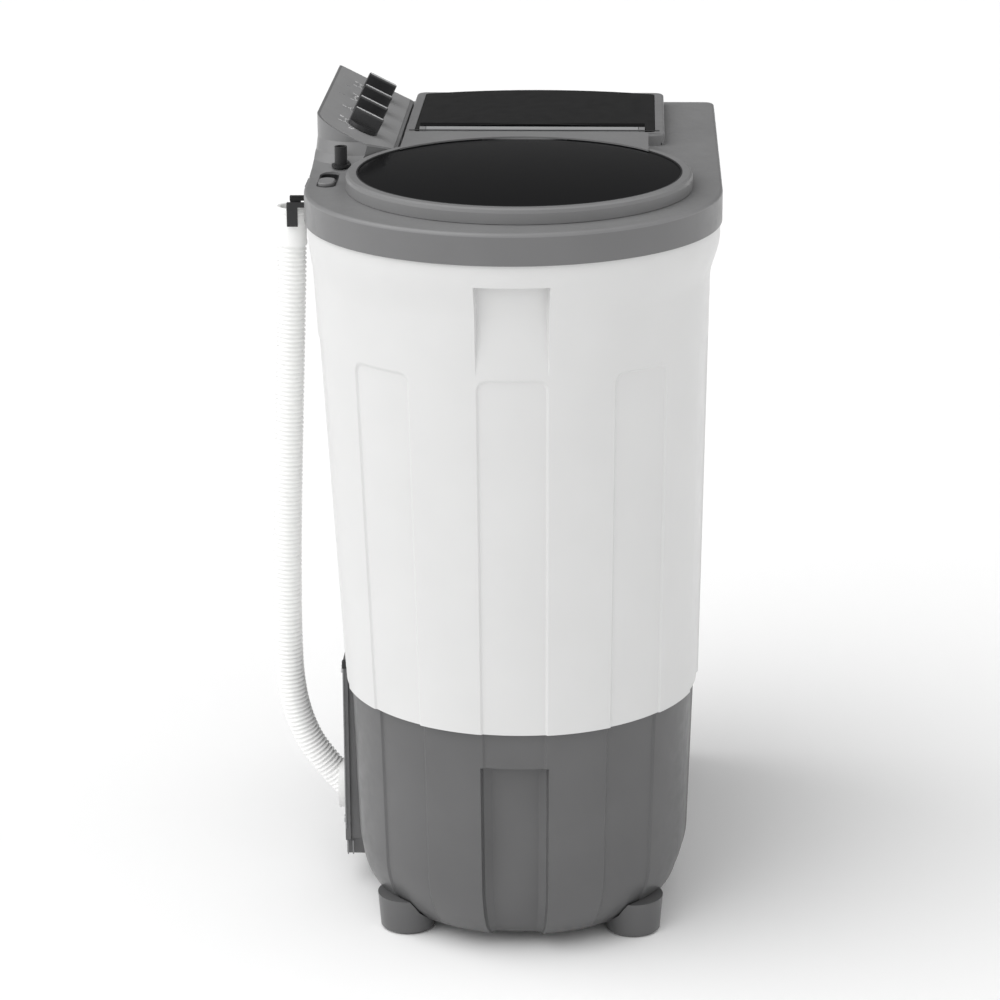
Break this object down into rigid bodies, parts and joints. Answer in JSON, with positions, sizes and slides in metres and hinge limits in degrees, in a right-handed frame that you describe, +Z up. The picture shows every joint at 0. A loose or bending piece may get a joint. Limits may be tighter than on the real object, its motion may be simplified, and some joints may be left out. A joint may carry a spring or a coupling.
{
  "type": "portable twin-tub mini washer",
  "caption": "Compact twin-tub washing machine: round wash lid over a pulsator tub, rectangular spin lid, sloped knob panel and a drain hose at the back.",
  "frame": {"origin": "centre of the footprint on the floor, measured without the drain hose", "axes": "+Z up, +X from the wash end to the spin end, +Y towards the back with the control panel"},
  "size_m": [0.711, 0.5101, 0.8972],
  "materials": {
    "casing_white": "fine satin moulded plastic",
    "casing_grey": "matte moulded plastic",
    "deck_grey": "matte moulded plastic",
    "panel_light": "satin plastic",
    "fascia_grey": "satin printed plastic",
    "cover_dark": "matte dark plastic",
    "lid_black": "glossy black plastic",
    "trim_light": "satin light grey plastic",
    "black_plastic": "black plastic",
    "knob_grey": "satin dark grey plastic",
    "bright_trim": "bright silver-white insert",
    "tub_plastic": "pale moulded plastic",
    "basket_plastic": "pale blue-grey plastic",
    "rubber_black": "black rubber",
    "hose_white": "translucent white corrugated plastic",
    "steel": "plain steel",
    "motor_steel": "dark painted steel",
    "aluminium": "cast aluminium",
    "capacitor_grey": "grey plastic can"
  },
  "bodies": {
    "cabinet": {"base_shell": "casing_grey", "body_shell": "casing_white", "top_frame": "deck_grey", "control_housing": "panel_light", "control_fascia": "fascia_grey", "rear_cover": "cover_dark", "rear_panel": "casing_white", "floor_plate": "black_plastic", "feet": "black_plastic", "wash_lid_pin": "steel", "spin_surround": "panel_light", "spin_lid_pin": "steel", "timer_boxes": "tub_plastic", "switch_boxes": "tub_plastic", "inlet_nozzle": "black_plastic", "wash_tub": "tub_plastic", "gearcase": "aluminium", "drive_belt": "rubber_black", "wash_motor": "motor_steel", "motor_mounts": "rubber_black", "spin_tub": "tub_plastic", "shaft_bellows": "rubber_black", "motor_springs": "steel", "spin_motor": "motor_steel", "drain_valve": "tub_plastic", "internal_hose": "rubber_black", "drain_spigot": "hose_white", "drain_hose": "hose_white", "hose_cuff": "hose_white", "hose_hook": "black_plastic", "cord_gland": "rubber_black", "run_capacitor": "capacitor_grey", "cover_screws": "steel"},
    "wash_lid": {"wash_lid_ring": "lid_black", "wash_lid_glass": "lid_black", "wash_lid_hinge_strip": "trim_light"},
    "spin_lid": {"spin_lid_panel": "lid_black", "spin_lid_hinge_bar": "trim_light"},
    "pulsator_drive": {"pulsator": "basket_plastic", "pulsator_screw": "steel", "wash_shaft": "steel", "wash_pulley": "aluminium"},
    "wash_motor_rotor": {"motor_pulley": "steel"},
    "spin_drive": {"spin_basket": "basket_plastic", "balance_ring": "tub_plastic", "spin_shaft": "steel", "brake_drum": "steel"},
    "spin_brake": {"brake_lever": "steel"},
    "valve": {"valve_plunger": "rubber_black", "drain_link": "black_plastic"},
    "filter": {"lint_filter": "basket_plastic"},
    "selector": {"inlet_selector": "panel_light"},
    "wash_timer": {"wash_timer_knob": "knob_grey", "wash_timer_pointer": "bright_trim"},
    "wash_program": {"wash_program_knob": "knob_grey", "wash_program_pointer": "bright_trim"},
    "drain_selector": {"drain_selector_knob": "knob_grey", "drain_selector_pointer": "bright_trim"},
    "spin_timer": {"spin_timer_knob": "knob_grey", "spin_timer_pointer": "bright_trim"}
  },
  "joints": [
    {"name": "wash_lid_hinge", "type": "hinge", "parent": "cabinet", "child": "wash_lid", "pos_m": [0.077, -0.0065, 0.849], "axis": [0, 1, 0], "range_deg": [0, 80]},
    {"name": "spin_lid_hinge", "type": "hinge", "parent": "cabinet", "child": "spin_lid", "pos_m": [0.1105, -0.0065, 0.852], "axis": [0, -1, 0], "range_deg": [0, 86]},
    {"name": "pulsator_spin", "type": "hinge", "parent": "cabinet", "child": "pulsator_drive", "pos_m": [-0.126, -0.0065, 0.4], "axis": [0, 0, 1], "continuous": true},
    {"name": "wash_motor_spin", "type": "hinge", "parent": "cabinet", "child": "wash_motor_rotor", "pos_m": [-0.022, 0.0635, 0.27], "axis": [0, 0, 1], "continuous": true},
    {"name": "basket_spin", "type": "hinge", "parent": "cabinet", "child": "spin_drive", "pos_m": [0.214, -0.0145, 0.5], "axis": [0, 0, 1], "continuous": true},
    {"name": "brake_release", "type": "hinge", "parent": "cabinet", "child": "spin_brake", "pos_m": [0.184, -0.0985, 0.3], "axis": [0, 0, 1], "range_deg": [0, 6]},
    {"name": "drain_valve_lift", "type": "slide", "parent": "cabinet", "child": "valve", "axis": [0, 0, 1], "range_m": [0, 0.01]},
    {"name": "lint_filter_slide", "type": "slide", "parent": "cabinet", "child": "filter", "axis": [0, 0, 1], "range_m": [0, 0.08]},
    {"name": "inlet_selector_slide", "type": "slide", "parent": "cabinet", "child": "selector", "axis": [1, 0, 0], "range_m": [0, 0.028]},
    {"name": "wash_timer_turn", "type": "hinge", "parent": "cabinet", "child": "wash_timer", "pos_m": [0.026, 0.1775, 0.8712], "axis": [0, -0.4508, 0.8926], "range_deg": [-330, 0]},
    {"name": "wash_program_turn", "type": "hinge", "parent": "cabinet", "child": "wash_program", "pos_m": [0.093, 0.1775, 0.8712], "axis": [0, -0.4508, 0.8926], "range_deg": [-90, 0]},
    {"name": "drain_selector_turn", "type": "hinge", "parent": "cabinet", "child": "drain_selector", "pos_m": [0.161, 0.1775, 0.8712], "axis": [0, -0.4508, 0.8926], "range_deg": [-90, 0]},
    {"name": "spin_timer_turn", "type": "hinge", "parent": "cabinet", "child": "spin_timer", "pos_m": [0.233, 0.1775, 0.8712], "axis": [0, -0.4508, 0.8926], "range_deg": [-300, 0]}
  ],
  "couplings": [
    {"joint": "wash_motor_spin", "follows": "pulsator_spin", "ratio": 4.2704},
    {"joint": "brake_release", "follows": "spin_lid_hinge", "ratio": 0.065},
    {"joint": "drain_selector_turn", "follows": "drain_valve_lift", "rad_per_m": -157}
  ]
}
